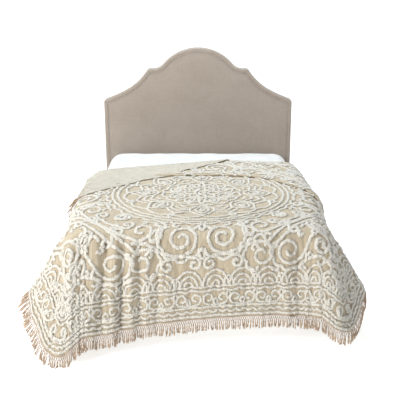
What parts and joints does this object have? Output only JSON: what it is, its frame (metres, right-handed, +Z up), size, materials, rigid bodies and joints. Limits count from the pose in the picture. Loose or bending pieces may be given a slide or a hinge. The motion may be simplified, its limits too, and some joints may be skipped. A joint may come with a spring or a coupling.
{
  "type": "chenille bedspread on a bed",
  "caption": "Tufted cotton bedspread with a knotted fringe, draped over a plain bed with an arched upholstered headboard, one head corner folded back.",
  "frame": {"origin": "on the floor, under the middle of the centre leg", "axes": "+Z up, +Y towards the headboard, +X towards the side that is on the right when looking from the foot"},
  "size_m": [2.272, 2.5472, 1.645],
  "materials": {
    "cotton_ground": "woven cotton with tufted chenille",
    "fringe_yarn": "knotted cotton yarn",
    "white_cover": "smooth cotton",
    "foundation_cover": "woven cover",
    "frame_steel": "satin",
    "headboard_linen": "woven linen",
    "welt_linen": "woven linen",
    "strut_timber": "satin"
  },
  "bodies": {
    "root": {"bedspread_cloth": "cotton_ground", "fringe": "fringe_yarn", "mattress": "white_cover", "foundation": "foundation_cover", "rail_left": "frame_steel", "rail_right": "frame_steel", "rail_foot": "frame_steel", "rail_head": "frame_steel", "rail_centre": "frame_steel", "leg_centre": "frame_steel", "leg_foot_left": "frame_steel", "leg_foot_right": "frame_steel", "leg_head_left": "frame_steel", "leg_head_right": "frame_steel", "headboard_panel": "headboard_linen", "headboard_welt": "welt_linen", "headboard_strut_left": "strut_timber", "headboard_strut_right": "strut_timber"}
  },
  "joints": []
}
